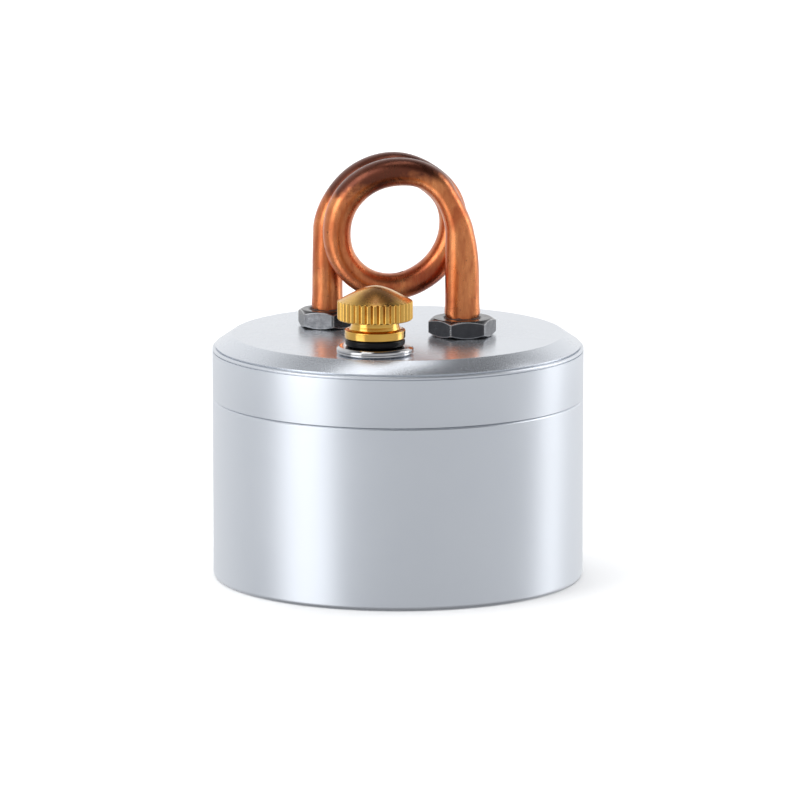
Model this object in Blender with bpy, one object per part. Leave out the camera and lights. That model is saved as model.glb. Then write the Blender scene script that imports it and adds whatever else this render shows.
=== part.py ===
"""Small spirit burner: a screwed two-piece pot, a copper jet coil on the lid and a filler screw.

Metres, +Z up. The pot's axis is the Z axis, its base is at Z = 0, and the filler is at the front (-Y).
Two screw threads are cut for real: lid on cup, and filler cap in its bushing. Both are right-handed.
"""

import math

import bmesh
import bpy

MM = 0.001

# Pot
BODY_R = 31.0 * MM
BODY_H = 41.0 * MM
BODY_SIDES = 48
BORE_R = 27.2 * MM
FLOOR = 2.5 * MM
FLOOR_FILLET = 0.8 * MM
BASE_ROUND = 0.7 * MM
EDGE = 0.2 * MM
SHOULDER_Z = 30.05 * MM
NECK_TOP_Z = 36.4 * MM
SKIRT_Z = 30.35 * MM
PLATE_Z = 38.2 * MM
# The rim, from the flat top outwards: bevel, step, round bead, fine groove
RIM = (
    (27.7 * MM, 41.0 * MM),
    (30.6 * MM, 39.1 * MM),
    (30.45 * MM, 38.95 * MM),
    (30.8 * MM, 38.85 * MM),
    (31.0 * MM, 38.6 * MM),
    (31.0 * MM, 38.4 * MM),
    (30.85 * MM, 38.34 * MM),
    (30.85 * MM, 38.24 * MM),
    (31.0 * MM, 38.18 * MM),
)

# A thread's ridge: half its crest and half its foot, as shares of the pitch
MALE_RIDGE = (0.15, 0.25)
FEMALE_RIDGE = (0.12, 0.2)

# Thread between cup and lid
LID_PITCH = 2.0 * MM
LID_STEPS = 6
LID_MALE = (28.7 * MM, 29.35 * MM)
LID_FEMALE = (29.65 * MM, 29.0 * MM)
LID_FEMALE_Z = (30.9 * MM, 36.9 * MM)
LID_MALE_Z = (30.5 * MM, 36.1 * MM)

# Gasket in the lid
GASKET_R = (27.4 * MM, 28.7 * MM)
GASKET_Z = (36.7 * MM, 37.9 * MM)

# Jet coil: one and a half turns between two legs. The bends squeeze the tube in the plane of the loop
TUBE_R = 2.6 * MM
TUBE_WALL = 0.8 * MM
TUBE_SIDES = 12
TUBE_SPREAD = 0.3
COIL_AT = (-0.35 * MM, 57.75 * MM)
COIL_Y = -2.12 * MM
COIL_PITCH = 6.1 * MM
COIL_STEP_DEG = 11.25
# Degrees round the coil, radius of the tube's centreline, half width of the squeezed tube
COIL_TURNS = (
    (0, 10.62 * MM, 2.42 * MM),
    (20, 10.35 * MM, 2.1 * MM),
    (35, 10.45 * MM, 2.0 * MM),
    (50, 10.78 * MM, 2.15 * MM),
    (65, 10.8 * MM, 2.2 * MM),
    (90, 10.35 * MM, 2.36 * MM),
    (120, 10.02 * MM, 2.39 * MM),
    (150, 9.9 * MM, 2.4 * MM),
    (180, 9.85 * MM, 2.33 * MM),
    (210, 9.96 * MM, 2.24 * MM),
    (240, 9.8 * MM, 2.2 * MM),
    (270, 9.35 * MM, 2.22 * MM),
    (300, 8.92 * MM, 2.27 * MM),
    (330, 9.0 * MM, 2.34 * MM),
    (360, 9.48 * MM, 2.34 * MM),
    (390, 10.1 * MM, 2.34 * MM),
    (420, 10.15 * MM, 2.34 * MM),
    (450, 10.5 * MM, 2.34 * MM),
    (480, 10.58 * MM, 2.34 * MM),
    (510, 10.78 * MM, 2.36 * MM),
    (540, 11.45 * MM, 2.43 * MM),
)
LEG_FOOT_Z = 5.5 * MM
LEG_SEAT_Z = 44.2 * MM
LEG_BEND_Z = 44.8 * MM
LEG_RIGHT = (10.68 * MM, -2.7 * MM)
LEG_LEFT = (-11.85 * MM, 6.4 * MM)
LEG_RIGHT_HALF = 2.86 * MM
LEG_LEFT_HALF = 2.56 * MM
JET_R = 0.45 * MM
JET_AT = (0.5 * MM, 2.6 * MM)
JET_Z = (48.8 * MM, 51.6 * MM)

# Wicks inside the legs
WICK_R = 1.5 * MM
WICK_Z = (3.2 * MM, 43.0 * MM)

# Nuts, washers and seals on the legs
NUT_AF = {"right": 10.0 * MM, "left": 9.0 * MM}
NUT_BORE_R = 2.9 * MM
NUT_Z = (41.25 * MM, 44.0 * MM)
NUT_TURN_DEG = {"right": 10.0, "left": -18.0}
SEAL_R = (2.9 * MM, 4.8 * MM)
SEAL_Z = (36.9 * MM, 37.9 * MM)
WASHER_R = (2.9 * MM, 5.6 * MM)
WASHER_Z = (35.9 * MM, 36.6 * MM)
LOCK_NUT_Z = (32.8 * MM, 35.6 * MM)
NUT_CHAMFER = math.tan(math.radians(30))

# Filler
FILLER_AT = (-3.75 * MM, -20.7 * MM)
FLANGE_R = 6.3 * MM
RING_Z = (41.2 * MM, 41.55 * MM)
FLANGE_Z = (41.75 * MM, 42.3 * MM)
BUSH_R = 4.0 * MM
BUSH_FOOT_Z = 34.2 * MM
BUSH_CLEAR_R = 4.3 * MM
FILLER_SEAL_R = 5.8 * MM
FILLER_SEAL_Z = (37.1 * MM, 37.9 * MM)
FILLER_NUT_AF = 11.0 * MM
FILLER_NUT_Z = (34.6 * MM, 36.8 * MM)
CAP_PITCH = 1.25 * MM
CAP_STEPS = 4
CAP_SIDES = 24
CAP_MALE = (2.4 * MM, 2.95 * MM)
CAP_FEMALE = (3.2 * MM, 2.65 * MM)
CAP_MALE_Z = (35.8 * MM, 41.4 * MM)
CAP_FEMALE_Z = (34.6 * MM, 41.4 * MM)
SHANK_FOOT_Z = 35.5 * MM
ORING_R = (3.35 * MM, 4.95 * MM)
ORING_Z = (42.5 * MM, 43.5 * MM)
CAP_FLANGE_Z = 43.7 * MM
CAP_FLANGE_TOP_Z = 45.05 * MM
CAP_FLANGE_R = 5.0 * MM
CAP_NECK = ((4.5 * MM, 45.05 * MM), (4.0 * MM, 45.9 * MM), (3.7 * MM, 46.65 * MM))
HEAD_Z = (46.65 * MM, 49.65 * MM)
HEAD_R = (5.8 * MM, 6.15 * MM)
HEAD_TEETH = 36
DOME = (
    (5.75 * MM, 49.88 * MM),
    (4.7 * MM, 50.5 * MM),
    (3.56 * MM, 51.1 * MM),
    (2.4 * MM, 51.64 * MM),
    (1.26 * MM, 52.03 * MM),
    (0.4 * MM, 52.2 * MM),
)

SHARP = math.radians(32)


def clear_scene():
    for obj in list(bpy.data.objects):
        bpy.data.objects.remove(obj, do_unlink=True)


def material(name, colour, roughness, metallic):
    """A Principled material of one colour."""
    made = bpy.data.materials.new(name)
    made.use_nodes = True
    shader = made.node_tree.nodes["Principled BSDF"]
    shader.inputs["Base Color"].default_value = (*colour, 1)
    shader.inputs["Roughness"].default_value = roughness
    shader.inputs["Metallic"].default_value = metallic
    made.diffuse_color = (*colour, 1)
    return made


def circle(radius, z, sides, at=(0, 0)):
    """A ring of points. The radius is a number, or a function of the angle."""
    found = []
    for i in range(sides):
        angle = math.tau * i / sides
        r = radius(angle) if callable(radius) else radius
        height = z(angle) if callable(z) else z
        found.append((at[0] + r * math.cos(angle), at[1] + r * math.sin(angle), height))
    return found


def bridge(a, b):
    """Faces between two rings of vertices, where one may have a whole multiple of the other's points."""
    if len(a) > len(b):
        a, b = b, a
    step = len(b) // len(a)
    faces = []
    for i in range(len(a)):
        far = [b[((i + 1) * step - j) % len(b)] for j in range(step + 1)]
        faces.append([a[i], a[(i + 1) % len(a)], *far])
    return faces


def solid(name, rings, look, ring_shaped=False, origin=(0, 0, 0)):
    """One closed body through its rings: capped at both ends, or closed on itself when ring-shaped."""
    mesh = bmesh.new()
    rows = [[mesh.verts.new([p - o for p, o in zip(point, origin)]) for point in ring] for ring in rings]
    pairs = list(zip(rows, rows[1:]))
    if ring_shaped:
        pairs.append((rows[-1], rows[0]))
    else:
        mesh.faces.new(rows[0])
        mesh.faces.new(rows[-1])
    for a, b in pairs:
        for face in bridge(a, b):
            mesh.faces.new(face)
    bmesh.ops.recalc_face_normals(mesh, faces=mesh.faces)
    data = bpy.data.meshes.new(name)
    mesh.to_mesh(data)
    mesh.free()
    data.shade_smooth()
    data.set_sharp_from_angle(angle=SHARP)
    data.materials.append(look)
    made = bpy.data.objects.new(name, data)
    made.location = origin
    bpy.context.scene.collection.objects.link(made)
    return made


def drill(target, name, radius, low, high, at, sides):
    """Cuts a round hole along Z out of a body with an exact Boolean."""
    cutter = solid(name, [circle(radius, low, sides, at), circle(radius, high, sides, at)], STEEL)
    cutter.hide_render = True
    cutter.display_type = "WIRE"
    cut = target.modifiers.new(name, "BOOLEAN")
    cut.operation = "DIFFERENCE"
    cut.solver = "EXACT"
    cut.object = cutter


def thread_radius(root, crest, pitch, height, angle, ridge, shift):
    """The radius of a right-handed thread at an angle and a height."""
    turn = height / pitch - angle / math.tau + shift
    away = abs(turn - math.floor(turn) - 0.5)
    share = (ridge[1] - away) / (ridge[1] - ridge[0])
    return root + (crest - root) * min(max(share, 0), 1)


def thread_rings(radii, span, pitch, steps, sides, ridge, shift, at=(0, 0)):
    """Rings up a thread, whose ridge fades out over the first and last step."""
    count = round((span[1] - span[0]) / pitch * steps)
    rings = []
    for row in range(count + 1):
        z = span[0] + (span[1] - span[0]) * row / count
        fade = 0 if row in (0, count) else 1

        def radius(angle, z=z, fade=fade):
            crest = radii[0] + (radii[1] - radii[0]) * fade
            return thread_radius(radii[0], crest, pitch, z, angle, ridge, shift)

        rings.append(circle(radius, z, sides, at))
    return rings


def fuel_cup():
    """The lower pot, with a threaded neck."""
    thread = thread_rings(LID_MALE, LID_MALE_Z, LID_PITCH, LID_STEPS, BODY_SIDES, MALE_RIDGE, 0)
    outside = [
        (BODY_R - BASE_ROUND, 0),
        (BODY_R - 0.3 * BASE_ROUND, 0.3 * BASE_ROUND),
        (BODY_R, BASE_ROUND),
        (BODY_R, SHOULDER_Z - EDGE),
        (BODY_R - EDGE, SHOULDER_Z),
        (LID_MALE[0], SHOULDER_Z),
    ]
    inside = [
        (LID_MALE[0] - EDGE, NECK_TOP_Z),
        (BORE_R, NECK_TOP_Z),
        (BORE_R, FLOOR + FLOOR_FILLET),
        (BORE_R - FLOOR_FILLET, FLOOR),
    ]
    rings = [circle(r, z, BODY_SIDES) for r, z in outside]
    rings += thread
    rings += [circle(r, z, BODY_SIDES) for r, z in inside]
    return solid("fuel_cup", rings, ALUMINIUM)


def lid():
    """The upper pot: a bevelled plate with a threaded skirt, drilled for the legs and the filler."""
    thread = thread_rings(LID_FEMALE, LID_FEMALE_Z, LID_PITCH, LID_STEPS, BODY_SIDES, FEMALE_RIDGE, 0.5)
    outside = [
        *RIM,
        (BODY_R, SKIRT_Z + EDGE),
        (BODY_R - EDGE, SKIRT_Z),
        (LID_FEMALE[0] + EDGE, SKIRT_Z),
    ]
    rings = [circle(r, z, BODY_SIDES) for r, z in outside]
    rings += thread
    rings.append(circle(LID_FEMALE[0], PLATE_Z, BODY_SIDES))
    made = solid("lid", rings, LID_ALUMINIUM)
    low = PLATE_Z - 1 * MM
    high = BODY_H + 1 * MM
    drill(made, "cut_leg_right", NUT_BORE_R, low, high, LEG_RIGHT, TUBE_SIDES)
    drill(made, "cut_leg_left", NUT_BORE_R, low, high, LEG_LEFT, TUBE_SIDES)
    drill(made, "cut_filler", BUSH_CLEAR_R, low, high, FILLER_AT, CAP_SIDES)
    return made


def washer(name, radii, span, at, look, sides=CAP_SIDES):
    """A flat ring."""
    section = [(radii[0], span[0]), (radii[1], span[0]), (radii[1], span[1]), (radii[0], span[1])]
    rings = [circle(r, z, sides, at) for r, z in section]
    return solid(name, rings, look, ring_shaped=True, origin=(*at, span[0]))


def hex_nut(name, across, bore, span, at, turn_deg, look, sides=12):
    """A plain-bored hexagon nut with its corners chamfered on both faces."""
    turn = math.radians(turn_deg)

    def flats(angle):
        return across / 2 / math.cos((angle + math.pi / 6) % (math.pi / 3) - math.pi / 6)

    def turned(radius, z):
        points = []
        for i in range(sides):
            angle = math.tau * i / sides
            r = radius(angle) if callable(radius) else radius
            height = z(angle) if callable(z) else z
            face = angle - math.pi / 2 + turn
            points.append((at[0] + r * math.cos(face), at[1] + r * math.sin(face), height))
        return points

    rim = across / 2

    def low(angle):
        return span[0] + (flats(angle) - rim) * NUT_CHAMFER

    def high(angle):
        return span[1] - (flats(angle) - rim) * NUT_CHAMFER

    rim_in = rim - EDGE
    rings = [
        turned(bore, span[0]),
        turned(rim_in, span[0]),
        turned(flats, low),
        turned(flats, high),
        turned(rim_in, span[1]),
        turned(bore, span[1]),
    ]
    return solid(name, rings, look, ring_shaped=True, origin=(*at, span[0]))


def smooth(share):
    return share * share * (3 - 2 * share)


def coil_value(degrees, column):
    """A column of the coil's table at an angle, on a smooth curve through its rows."""
    rows = COIL_TURNS
    last = len(rows) - 1
    i = max(k for k in range(last) if rows[k][0] <= degrees)
    slopes = []
    for k in (i, i + 1):
        before = rows[max(k - 1, 0)]
        after = rows[min(k + 1, last)]
        slopes.append((after[column] - before[column]) / (after[0] - before[0]))
    gap = rows[i + 1][0] - rows[i][0]
    share = (degrees - rows[i][0]) / gap
    rise = rows[i + 1][column] - rows[i][column]
    sway = gap * share * (1 - share) * ((1 - share) * slopes[0] - share * slopes[1])
    return rows[i][column] + rise * smooth(share) + sway


def coil_point(degrees):
    """The tube's centre along the coil, counted from the head of the right leg, and its half width."""
    radius = coil_value(degrees, 1)
    x = COIL_AT[0] + radius * math.cos(math.radians(degrees))
    z = COIL_AT[1] + radius * math.sin(math.radians(degrees))
    late = max(degrees - 450, 0) / 90
    y = COIL_Y + COIL_PITCH * (min(degrees, 450) / 360 + (late - late * late / 2) / 4)
    return x, y, z, coil_value(degrees, 2)


def leg_path(foot, half, head, bend):
    """The centreline of one leg, upwards. The last stretch leans to the head of the leg."""
    path = [
        (*foot, LEG_FOOT_Z, TUBE_R),
        (*foot, LEG_SEAT_Z, TUBE_R),
    ]
    steps = 5
    for i in range(steps):
        share = i / steps
        x = foot[0] + (head[0] - foot[0]) * share**bend
        y = foot[1] + (head[1] - foot[1]) * share**2
        z = LEG_BEND_Z + (head[2] - LEG_BEND_Z) * share
        path.append((x, y, z, half + (head[3] - half) * share**bend))
    return path


def coil_path():
    """The tube's centreline and half width: up the right leg, round the coil and down the left leg."""
    path = leg_path(LEG_RIGHT, LEG_RIGHT_HALF, coil_point(0), 4)
    turns = round(540 / COIL_STEP_DEG)
    path += [coil_point(COIL_STEP_DEG * i) for i in range(turns + 1)]
    path += reversed(leg_path(LEG_LEFT, LEG_LEFT_HALF, coil_point(540), 2))
    return path


def tube_rings(path, wall, sides):
    """Oval rings along a path that never runs along Y, at a depth below the tube's surface."""
    rings = []
    for i, (*point, half) in enumerate(path):
        before = path[max(i - 1, 0)]
        after = path[min(i + 1, len(path) - 1)]
        along = [b - a for a, b in zip(before[:3], after[:3])]
        size = math.sqrt(sum(a * a for a in along))
        t = [a / size for a in along]
        flat = math.hypot(t[2], t[0])
        u = (t[2] / flat, 0, -t[0] / flat)
        v = (t[1] * u[2], t[2] * u[0] - t[0] * u[2], -t[1] * u[0])
        across = TUBE_R + TUBE_SPREAD * (TUBE_R - half)
        ring = []
        for j in range(sides):
            angle = math.tau * (j + 0.5) / sides
            c = (half - wall) * math.cos(angle)
            s = (across - wall) * math.sin(angle)
            ring.append(tuple(p + c * a + s * b for p, a, b in zip(point, u, v)))
        rings.append(ring)
    return rings


def jet_coil():
    """The hollow copper tube, with a jet hole that fires up from the foot of the loop."""
    path = coil_path()
    rings = tube_rings(path, 0, TUBE_SIDES)
    rings += reversed(tube_rings(path, TUBE_WALL, TUBE_SIDES))
    made = solid("jet_coil", rings, COPPER, ring_shaped=True)
    drill(made, "cut_jet", JET_R, *JET_Z, JET_AT, TUBE_SIDES)
    return made


def wick(name, at):
    """The cotton core of one leg."""
    rings = [circle(WICK_R, z, TUBE_SIDES, at) for z in WICK_Z]
    return solid(name, rings, COTTON, origin=(*at, WICK_Z[0]))


def filler_bushing():
    """The flanged bushing in the lid, threaded inside."""
    thread = thread_rings(
        CAP_FEMALE, CAP_FEMALE_Z, CAP_PITCH, CAP_STEPS, CAP_SIDES, FEMALE_RIDGE, 0.5, FILLER_AT
    )
    section = [
        (CAP_FEMALE[0], FLANGE_Z[1]),
        (FLANGE_R - EDGE, FLANGE_Z[1]),
        (FLANGE_R, FLANGE_Z[1] - EDGE),
        (FLANGE_R, FLANGE_Z[0]),
        (BUSH_R, FLANGE_Z[0]),
        (BUSH_R, BUSH_FOOT_Z + EDGE),
        (BUSH_R - EDGE, BUSH_FOOT_Z),
        (CAP_FEMALE[0], BUSH_FOOT_Z),
    ]
    rings = [circle(r, z, CAP_SIDES, FILLER_AT) for r, z in section]
    origin = (*FILLER_AT, FLANGE_Z[1])
    return solid("filler_bushing", rings + thread, CHROME, ring_shaped=True, origin=origin)


def oring():
    """The seal under the filler cap."""
    middle = (sum(ORING_R) / 2, sum(ORING_Z) / 2)
    half = ((ORING_R[1] - ORING_R[0]) / 2, (ORING_Z[1] - ORING_Z[0]) / 2)
    points = 8
    rings = []
    for i in range(points):
        angle = math.tau * (i + 0.5) / points
        stretch = 1 / math.cos(math.pi / points)
        r = middle[0] + half[0] * math.cos(angle) * stretch
        z = middle[1] + half[1] * math.sin(angle) * stretch
        rings.append(circle(r, z, CAP_SIDES, FILLER_AT))
    return solid("filler_oring", rings, RUBBER, ring_shaped=True, origin=(*FILLER_AT, middle[1]))


def knurl(z, sink=0.0):
    """A ring of straight teeth."""
    points = []
    count = 2 * HEAD_TEETH
    for i in range(count):
        angle = math.tau * i / count
        r = HEAD_R[i % 2] - sink
        points.append((FILLER_AT[0] + r * math.cos(angle), FILLER_AT[1] + r * math.sin(angle), z))
    return points


def filler_cap():
    """The screw that closes the filler: threaded shank, flange, neck, knurled head and dome."""
    thread = thread_rings(
        CAP_MALE, CAP_MALE_Z, CAP_PITCH, CAP_STEPS, CAP_SIDES, MALE_RIDGE, 0, FILLER_AT
    )
    above = [
        (CAP_MALE[0], CAP_FLANGE_Z),
        (CAP_FLANGE_R, CAP_FLANGE_Z),
        (CAP_FLANGE_R, CAP_FLANGE_TOP_Z),
        *CAP_NECK,
    ]
    rings = [circle(CAP_MALE[0] - EDGE, SHANK_FOOT_Z, CAP_SIDES, FILLER_AT)]
    rings += thread
    rings += [circle(r, z, CAP_SIDES, FILLER_AT) for r, z in above]
    rings += [
        knurl(HEAD_Z[0], EDGE),
        knurl(HEAD_Z[0] + EDGE),
        knurl(HEAD_Z[1] - EDGE),
        knurl(HEAD_Z[1], EDGE),
    ]
    rings.append(circle(DOME[0][0], HEAD_Z[1], CAP_SIDES, FILLER_AT))
    rings += [circle(r, z, CAP_SIDES, FILLER_AT) for r, z in DOME]
    return solid("filler_cap", rings, BRASS, origin=(*FILLER_AT, CAP_FLANGE_Z))


clear_scene()
ALUMINIUM = material("aluminium", (0.56, 0.58, 0.62), 0.38, 1.0)
LID_ALUMINIUM = material("lid_aluminium", (0.58, 0.6, 0.64), 0.34, 1.0)
COPPER = material("copper", (0.62, 0.27, 0.13), 0.32, 1.0)
STEEL = material("black_steel", (0.05, 0.05, 0.055), 0.4, 0.9)
ZINC = material("zinc_steel", (0.5, 0.51, 0.52), 0.35, 1.0)
CHROME = material("chrome", (0.75, 0.76, 0.78), 0.12, 1.0)
BRASS = material("brass", (0.72, 0.5, 0.2), 0.22, 1.0)
RUBBER = material("rubber", (0.02, 0.02, 0.02), 0.5, 0.0)
FIBRE = material("red_fibre", (0.35, 0.07, 0.04), 0.8, 0.0)
COTTON = material("cotton", (0.85, 0.82, 0.74), 0.95, 0.0)

fuel_cup()
lid()
washer("lid_gasket", GASKET_R, GASKET_Z, (0, 0), RUBBER, BODY_SIDES)
jet_coil()
for side, foot in (("right", LEG_RIGHT), ("left", LEG_LEFT)):
    hex_nut(f"tube_nut_{side}", NUT_AF[side], NUT_BORE_R, NUT_Z, foot, NUT_TURN_DEG[side], STEEL, 24)
    washer(f"tube_seal_{side}", SEAL_R, SEAL_Z, foot, FIBRE)
    washer(f"flat_washer_{side}", WASHER_R, WASHER_Z, foot, ZINC)
    hex_nut(f"lock_nut_{side}", NUT_AF[side], NUT_BORE_R, LOCK_NUT_Z, foot, NUT_TURN_DEG[side], ZINC)
    wick(f"wick_{side}", foot)
filler_bushing()
washer("filler_ring", (BUSH_CLEAR_R, FLANGE_R), RING_Z, FILLER_AT, CHROME)
washer("filler_seal", (BUSH_CLEAR_R, FILLER_SEAL_R), FILLER_SEAL_Z, FILLER_AT, FIBRE)
outward = math.degrees(math.atan2(FILLER_AT[0], -FILLER_AT[1]))
hex_nut("filler_nut", FILLER_NUT_AF, BUSH_CLEAR_R, FILLER_NUT_Z, FILLER_AT, outward, ZINC)
oring()
filler_cap()
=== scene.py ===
"""The looks of a small spirit burner: turned pot, screwed lid, copper jet coil, nuts and filler screw.

Metres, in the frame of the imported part: the pot's axis is the Z axis, the base is at Z = 0 and the
filler is at the front (-Y). Every piece takes its place from the boxes of the node it stands for.
"""

import math

import bmesh
import bpy
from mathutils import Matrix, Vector


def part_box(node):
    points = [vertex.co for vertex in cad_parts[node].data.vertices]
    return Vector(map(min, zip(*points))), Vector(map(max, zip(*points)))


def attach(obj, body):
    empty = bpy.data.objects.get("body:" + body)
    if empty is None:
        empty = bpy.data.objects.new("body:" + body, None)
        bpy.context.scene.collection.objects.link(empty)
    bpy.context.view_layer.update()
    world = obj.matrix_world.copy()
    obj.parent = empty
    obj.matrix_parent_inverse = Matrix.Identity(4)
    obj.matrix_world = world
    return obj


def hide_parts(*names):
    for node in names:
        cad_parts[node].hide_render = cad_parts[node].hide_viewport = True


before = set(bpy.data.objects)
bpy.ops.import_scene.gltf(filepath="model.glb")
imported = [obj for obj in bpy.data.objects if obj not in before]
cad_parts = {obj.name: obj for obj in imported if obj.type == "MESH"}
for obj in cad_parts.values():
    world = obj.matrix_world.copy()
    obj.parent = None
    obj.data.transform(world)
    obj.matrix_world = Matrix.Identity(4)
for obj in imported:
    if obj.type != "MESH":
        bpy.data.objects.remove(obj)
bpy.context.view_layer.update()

MM = 0.001
SHARP = math.radians(38)
# How far from its axis a solid turned profile starts and ends
TIP = 0.02 * MM


# --- Camera, floor and lights -------------------------------------------------------------------

CAMERA_DISTANCE = 1.0
CAMERA_ELEVATION = math.radians(10.22)
CAMERA_PIVOT = Vector((0, 0, 30 * MM))
CAMERA_AIM = Vector((0.33 * MM, 0, 29.5 * MM))
CAMERA_LENS = 269.06
SENSOR = 36.0

# The room that the metal mirrors
ROOM_FRONT = (0.595, 0.605, 0.62)
ROOM_WALL = (1.02, 1.02, 1.02)
CEILING = (0.08, 0.08, 0.085)
GROUND = (0.22, 0.22, 0.225)


def link(obj):
    bpy.context.scene.collection.objects.link(obj)
    return obj


def aim(obj, target):
    obj.rotation_euler = (target - obj.location).to_track_quat("-Z", "Y").to_euler()


def camera():
    data = bpy.data.cameras.new("camera")
    data.lens = CAMERA_LENS
    data.sensor_width = SENSOR
    data.clip_start = 0.01
    obj = link(bpy.data.objects.new("camera", data))
    back = Vector((0, -math.cos(CAMERA_ELEVATION), math.sin(CAMERA_ELEVATION)))
    obj.location = CAMERA_PIVOT + CAMERA_DISTANCE * back
    aim(obj, CAMERA_AIM)
    bpy.context.scene.camera = obj


def area_light(name, at, target, size, radiance, mirrored=True):
    """A soft box of an even radiance, aimed at a point and hidden from the camera."""
    data = bpy.data.lights.new(name, "AREA")
    data.shape = "RECTANGLE"
    data.size, data.size_y = size
    data.energy = radiance * math.pi * size[0] * size[1]
    obj = link(bpy.data.objects.new(name, data))
    obj.location = at
    aim(obj, Vector(target))
    obj.visible_camera = False
    obj.visible_glossy = mirrored


def around(azimuth_deg, distance, height):
    """A point at an azimuth that is counted from the camera's side, positive to the right."""
    azimuth = math.radians(azimuth_deg)
    return (distance * math.sin(azimuth), -distance * math.cos(azimuth), height)


def studio_world():
    """A bright wall behind, a greyer room in front, dark above and below. The camera sees plain white."""
    world = bpy.data.worlds.new("world")
    world.use_nodes = True
    tree = world.node_tree
    seen = add(tree, "Background", {"Color": (1, 1, 1, 1), "Strength": 1.0})
    axes = add(tree, "SeparateXYZ", {0: add(tree, "TexCoord").outputs["Generated"]})
    skirting = remap(tree, axes.outputs["Z"], 0, -0.2, 0, -0.24)
    back = remap(tree, total(tree, axes.outputs["Y"], skirting), -0.1, 0.95, 0, 1)
    right = remap(tree, axes.outputs["X"], 0.2, 0.8, 0, 0.12)
    lean = product(tree, axes.outputs["X"], 0.16)
    up = remap(tree, total(tree, axes.outputs["Z"], lean), 0.58, 0.9, 0, 1)
    down = remap(tree, axes.outputs["Z"], -0.45, -0.75, 0, 1)
    room = blend(tree, total(tree, back, right), ROOM_FRONT, ROOM_WALL)
    room = blend(tree, down, blend(tree, up, room, CEILING), GROUND)
    tree.links.new(room, tree.nodes["Background"].inputs["Color"])
    path = add(tree, "LightPath")
    lit = tree.nodes["Background"].outputs[0]
    both = add(tree, "MixShader", {0: path.outputs["Is Camera Ray"], 1: lit, 2: seen.outputs[0]})
    tree.links.new(both.outputs[0], tree.nodes["World Output"].inputs[0])
    bpy.context.scene.world = world


def studio():
    """A pale floor under soft light. Reflections leave it out, so the soft boxes run on below it."""
    area_light("box_left", around(-58, 0.7, 0.4), (0, 0, 0.05), (0.44, 0.76), 2.4)
    area_light("box_left_low", around(-58, 0.7, -0.25), (0, 0, -0.25), (0.44, 0.5), 1.05)
    area_light("box_right", around(109, 0.7, 0.36), (0, 0, 0.05), (0.28, 0.7), 2.2)
    area_light("box_right_low", around(107, 0.7, -0.25), (0, 0, -0.25), (0.25, 0.5), 0.9)
    area_light("box_top", (-0.1, 0.1, 0.95), (0, 0, 0), (0.6, 0.27), 1.65)
    area_light("overhead", (0, 0.1, 1.3), (0, 0, 0), (2.4, 2.4), 1.4, mirrored=False)
    studio_world()
    bpy.context.scene.view_settings.view_transform = "Standard"

    half = 3.0
    corners = [(-half, -half, 0), (half, -half, 0), (half, half, 0), (-half, half, 0)]
    mesh = bpy.data.meshes.new("floor")
    mesh.from_pydata(corners, [], [(0, 1, 2, 3)])
    floor = link(bpy.data.objects.new("floor", mesh))
    floor.visible_glossy = False
    floor.visible_shadow = False
    paint(floor, floor_look())


# --- Node materials -----------------------------------------------------------------------------


def add(tree, kind, inputs=None, **settings):
    """A shader node with its sockets set to numbers or linked to other sockets."""
    made = tree.nodes.new("ShaderNode" + kind)
    for key, value in settings.items():
        setattr(made, key, value)
    for key, value in (inputs or {}).items():
        if isinstance(value, bpy.types.NodeSocket):
            tree.links.new(value, made.inputs[key])
        else:
            made.inputs[key].default_value = value
    return made


def socket_name(key):
    return "IOR" if key == "ior" else key.replace("_", " ").title()


def principled(name, **sockets):
    """A new material and its tree, with plain values on the Principled shader's own sockets."""
    made = bpy.data.materials.new(name)
    made.use_nodes = True
    shader = made.node_tree.nodes["Principled BSDF"]
    for key, value in sockets.items():
        shader.inputs[socket_name(key)].default_value = value
    return made, made.node_tree, shader


def place(tree, stretch=(1, 1, 1)):
    """Object coordinates, stretched."""
    coordinates = add(tree, "TexCoord").outputs["Object"]
    return add(tree, "Mapping", {"Vector": coordinates, "Scale": stretch}).outputs[0]


def noise(tree, vector, scale, detail=2.0, roughness=0.5, distortion=0.0):
    made = add(tree, "TexNoise", {
        "Vector": vector,
        "Scale": scale,
        "Detail": detail,
        "Roughness": roughness,
        "Distortion": distortion,
    })
    return made.outputs["Fac"]


def remap(tree, value, low, high, to_low, to_high):
    made = add(tree, "MapRange", {
        "Value": value, "From Min": low, "From Max": high, "To Min": to_low, "To Max": to_high,
    })
    return made.outputs[0]


def blend(tree, share, a, b):
    """A mix of two colours, each an RGB triple or a socket."""
    made = add(tree, "Mix", data_type="RGBA")
    for key, value in (("Factor", share), ("A", a), ("B", b)):
        kind = "VALUE" if key == "Factor" else "RGBA"
        socket = next(s for s in made.inputs if s.name == key and s.type == kind)
        if isinstance(value, bpy.types.NodeSocket):
            tree.links.new(value, socket)
        elif key == "Factor":
            socket.default_value = value
        else:
            socket.default_value = (*value, 1)
    return next(s for s in made.outputs if s.type == "RGBA")


def product(tree, a, b):
    return add(tree, "Math", {0: a, 1: b}, operation="MULTIPLY").outputs[0]


def total(tree, a, b):
    return add(tree, "Math", {0: a, 1: b}, operation="ADD").outputs[0]


def bump(tree, shader, height, strength, distance, under=None):
    inputs = {"Height": height, "Strength": strength, "Distance": distance}
    if under is not None:
        inputs["Normal"] = under
    made = add(tree, "Bump", inputs).outputs[0]
    tree.links.new(made, shader.inputs["Normal"])
    return made


def feed(tree, shader, **sockets):
    for key, socket in sockets.items():
        tree.links.new(socket, shader.inputs[socket_name(key)])


def wear_and_sheen(tree):
    """How worn the surface is at its edges, and where a painted highlight lies, from the piece's own
    attribute.
    """
    return add(tree, "Attribute", attribute_name="wear_and_sheen").outputs["Fac"]


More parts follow.
